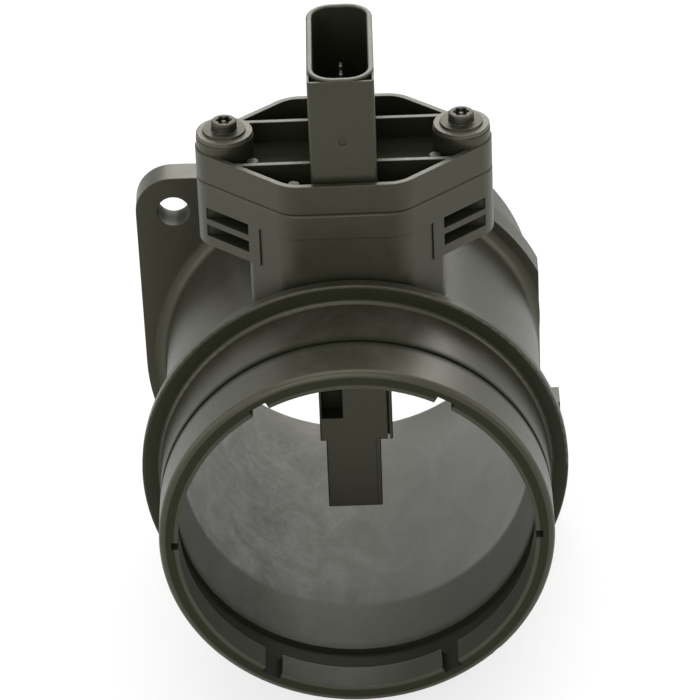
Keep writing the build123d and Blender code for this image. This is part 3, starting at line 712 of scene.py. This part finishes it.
def floor_points(reach, level, rings, steps):
    """Points of the floor: circles about the object's axis, with radius as the square of the ring number."""
    share = np.linspace(0.0, 1.0, rings)[:, None]
    turn = np.linspace(0.0, 2.0 * math.pi, steps, endpoint=False)[None, :]
    radius = 1e-4 + reach * share ** 2
    flat = np.broadcast_arrays(radius * np.cos(turn), radius * np.sin(turn), np.full_like(turn, level))
    return np.stack(flat, axis=-1)


# Operators

def dress(node, material):
    """Gives a CAD node one finish."""
    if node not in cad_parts:
        raise RuntimeError(f"no CAD node named {node}")
    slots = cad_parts[node].data.materials
    slots.clear()
    slots.append(material)


class AIRFLOW_OT_mouldings(bpy.types.Operator):
    """Finish the flow tube, the sensor body and the finger's two covers as glass-filled mouldings"""

    bl_idname = "airflow.mouldings"
    bl_label = "Mouldings"

    def execute(self, context):
        sizes = context.scene.airflow_plastic
        tube = moulded_finish("tube_plastic", sizes.tube_deep, sizes.tube_pale, sizes, film=sizes.film)
        dress("flow_tube", tube)
        body = moulded_finish("module_plastic", sizes.module_deep, sizes.module_pale, sizes)
        for node in ("sensor_body", "electronics_cover", "channel_cover"):
            dress(node, body)
        return {"FINISHED"}


class AIRFLOW_OT_screws(bpy.types.Operator):
    """Work out the two flanged screws with washer, lobed recess and thread, in place of the CAD ones"""

    bl_idname = "airflow.screws"
    bl_label = "Retaining screws"

    def execute(self, context):
        settings = context.scene.airflow_screws
        axis_y = float(SCREW_MIDDLE[1])
        places = (-SCREW_REACH, SCREW_REACH)
        both = np.stack([screw_points(settings, place, axis_y, SCREW_SEAT) for place in places])
        rows, columns = both.shape[1:3]
        faces = grid_faces(rows, columns)[:, ::-1]
        faces = np.concatenate([faces, faces + rows * columns])
        made = surface_object("fine_retaining_screws", both, faces, plated_finish("screw_plating", settings))
        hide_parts("retaining_screws")
        return {"FINISHED"}


class AIRFLOW_OT_seals(bpy.types.Operator):
    """Work out the lipped rubber ring on the filter spigot and finish the ring in the neck"""

    bl_idname = "airflow.seals"
    bl_label = "Rubber rings"

    def execute(self, context):
        settings = context.scene.airflow_rubber
        rubber = rubber_finish("seal_rubber", settings)
        points = ring_points(settings, SEAL_LOW, SEAL_HIGH)
        rows, columns = points.shape[:2]
        made = surface_object("fine_spigot_seal", points, grid_faces(rows, columns, closed_rows=True), rubber)
        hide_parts("spigot_seal")
        dress("module_seal", rubber)
        return {"FINISHED"}


class AIRFLOW_OT_circuit(bpy.types.Operator):
    """Finish the carrier plate, board, chips, capacitors, contact blades and temperature bead"""

    bl_idname = "airflow.circuit"
    bl_label = "Circuit"

    def execute(self, context):
        settings = context.scene.airflow_circuit
        dress("carrier_plate", sheet_finish("carrier_metal", settings))
        dress("hybrid_board", board_finish("board_ceramic", settings))
        dress("sensing_chip", chip_finish("chip_silicon", settings, extent("sensing_chip")[2]))
        dress("signal_chip", package_finish("chip_package", settings))
        low, high, middle = extent("capacitor_1")
        block = capacitor_finish("capacitor_block", settings, middle, float(high[2] - low[2]) / 2)
        for number in (1, 2, 3):
            dress(f"capacitor_{number}", block)
        tin = tin_finish("contact_tin", settings)
        for number in (1, 2, 3, 4, 5):
            dress(f"terminal_{number}", tin)
        low, high, middle = extent("air_temperature_bead")
        dress("air_temperature_bead", bead_finish("bead_glaze", settings, float(low[2]) + 2.2 * MM))
        return {"FINISHED"}


class AIRFLOW_OT_stage(bpy.types.Operator):
    """Set up the floor, the white surround, the softboxes and the camera"""

    bl_idname = "airflow.stage"
    bl_label = "Studio"

    def execute(self, context):
        settings = context.scene.airflow_stage
        self.lay_floor(context, settings)
        self.light(context, settings)
        self.aim_camera(context, settings)
        return {"FINISHED"}

    def lay_floor(self, context, settings):
        """A wide pale floor under the lowest point, near white to the camera, with a soft shadow."""
        level = float(cad_box[0][2]) - 0.4 * MM
        points = floor_points(reach=9.0, level=level, rings=24, steps=96)
        faces = grid_faces(*points.shape[:2])
        mesh = bpy.data.meshes.new("studio_floor")
        mesh.from_pydata(points.reshape(-1, 3).tolist(), [], faces.tolist())
        finish = Finish("floor_paint")
        grain = finish.noise(4 * MM, 3.0)
        pale = finish.blend(grain * 0.3, settings.floor, (0.86, 0.86, 0.855))
        finish.set(Base_Color=pale, Roughness=0.9)
        seen = finish.node("ShaderNodeLightPath", {}, {}, "Is Camera Ray")
        glossy = finish.node("ShaderNodeLightPath", {}, {}, "Is Glossy Ray")
        through = finish.node("ShaderNodeLightPath", {}, {}, "Is Transmission Ray")
        share = (seen + glossy + through).clipped() * 0.72
        white = finish.node("ShaderNodeEmission", {}, {"Color": (1.0, 1.0, 1.0), "Strength": 1.0})
        mesh.materials.append(finish.mix_in(share, white))
        floor = bpy.data.objects.new("studio_floor", mesh)
        context.scene.collection.objects.link(floor)

    def light(self, context, settings):
        """An even surround, white to the eye and to reflections, and five softboxes."""
        world = bpy.data.worlds.new("studio_surround")
        world.use_nodes = True
        context.scene.world = world
        tree = world.node_tree
        tree.nodes.clear()
        path = tree.nodes.new("ShaderNodeLightPath")
        plain = tree.nodes.new("ShaderNodeBackground")
        plain.inputs["Strength"].default_value = settings.surround
        white = tree.nodes.new("ShaderNodeBackground")
        for background in (plain, white):
            background.inputs["Color"].default_value = (1.0, 1.0, 1.0, 1.0)
        first = tree.nodes.new("ShaderNodeMath")
        second = tree.nodes.new("ShaderNodeMath")
        for adder in (first, second):
            adder.operation = "MAXIMUM"
        mix = tree.nodes.new("ShaderNodeMixShader")
        output = tree.nodes.new("ShaderNodeOutputWorld")
        tree.links.new(path.outputs["Is Camera Ray"], first.inputs[0])
        tree.links.new(path.outputs["Is Glossy Ray"], first.inputs[1])
        tree.links.new(first.outputs[0], second.inputs[0])
        tree.links.new(path.outputs["Is Transmission Ray"], second.inputs[1])
        tree.links.new(second.outputs[0], mix.inputs[0])
        tree.links.new(plain.outputs[0], mix.inputs[1])
        tree.links.new(white.outputs[0], mix.inputs[2])
        tree.links.new(mix.outputs[0], output.inputs["Surface"])
        boxes = (
            ("overhead_softbox", (-0.05, 0.05, 0.85), (0.9, 0.7), settings.overhead),
            ("rear_softbox", (0.15, 0.95, 0.55), (0.9, 0.6), settings.behind),
            ("front_softbox", (-0.22, -1.10, 0.50), (0.8, 0.5), settings.front),
            ("left_softbox", (-0.95, -0.25, 0.35), (0.6, 0.7), settings.side),
            ("right_softbox", (0.95, -0.25, 0.35), (0.6, 0.7), settings.side),
        )
        for name, place, size, power in boxes:
            lamp = bpy.data.lights.new(name, "AREA")
            lamp.shape = "RECTANGLE"
            lamp.size, lamp.size_y = size
            lamp.energy = power
            made = bpy.data.objects.new(name, lamp)
            made.location = place
            ahead = Vector((0.0, -0.03, 0.02)) - Vector(place)
            made.rotation_euler = ahead.to_track_quat("-Z", "Y").to_euler()
            context.scene.collection.objects.link(made)

    def aim_camera(self, context, settings):
        """A long lens on the hose side, above the duct axis, turned a little about its own axis."""
        lens = bpy.data.cameras.new("photo_camera")
        lens.sensor_width = 36.0
        lens.sensor_fit = "HORIZONTAL"
        lens.lens = settings.lens
        lens.shift_x, lens.shift_y = settings.shift
        lens.clip_start, lens.clip_end = 0.05, 60.0
        camera = bpy.data.objects.new("photo_camera", lens)
        context.scene.collection.objects.link(camera)
        eye, aim = Vector(settings.eye), Vector(settings.aim)
        ahead = (aim - eye).normalized()
        right = ahead.cross(Vector((0.0, 0.0, 1.0))).normalized()
        above = right.cross(ahead)
        turned_right = math.cos(settings.roll) * right + math.sin(settings.roll) * above
        turned_above = -math.sin(settings.roll) * right + math.cos(settings.roll) * above
        basis = Matrix((turned_right, turned_above, -ahead)).transposed().to_4x4()
        camera.matrix_world = Matrix.Translation(eye) @ basis
        context.scene.camera = camera
        context.scene.view_settings.view_transform = "Standard"


class AIRFLOW_PT_panel(bpy.types.Panel):
    """Lists the dressing steps and their settings"""

    bl_idname = "AIRFLOW_PT_panel"
    bl_label = "Mass airflow sensor"
    bl_space_type = "VIEW_3D"
    bl_region_type = "UI"
    bl_category = "Airflow"

    def draw(self, context):
        for operator, group in STEPS:
            box = self.layout.box()
            box.operator(operator.bl_idname)
            settings = getattr(context.scene, group)
            for key in settings.bl_rna.properties.keys():
                if key not in ("rna_type", "name"):
                    box.prop(settings, key)


STEPS = (
    (AIRFLOW_OT_mouldings, "airflow_plastic"),
    (AIRFLOW_OT_screws, "airflow_screws"),
    (AIRFLOW_OT_seals, "airflow_rubber"),
    (AIRFLOW_OT_circuit, "airflow_circuit"),
    (AIRFLOW_OT_stage, "airflow_stage"),
)
GROUPS = {
    "airflow_plastic": AirflowPlasticSettings,
    "airflow_screws": AirflowScrewSettings,
    "airflow_rubber": AirflowRubberSettings,
    "airflow_circuit": AirflowCircuitSettings,
    "airflow_stage": AirflowStageSettings,
}
CLASSES = (*GROUPS.values(), *(operator for operator, group in STEPS), AIRFLOW_PT_panel)


def register():
    """Registers the classes and hangs the settings on the scene."""
    for item in CLASSES:
        bpy.utils.register_class(item)
    for key, group in GROUPS.items():
        setattr(bpy.types.Scene, key, PointerProperty(type=group))


def unregister():
    """Takes the settings and classes away again."""
    for key in GROUPS:
        delattr(bpy.types.Scene, key)
    for item in reversed(CLASSES):
        bpy.utils.unregister_class(item)


def main():
    """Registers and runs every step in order."""
    register()
    bpy.ops.airflow.mouldings()
    bpy.ops.airflow.screws()
    bpy.ops.airflow.seals()
    bpy.ops.airflow.circuit()
    bpy.ops.airflow.stage()


if __name__ == "__main__":
    main()
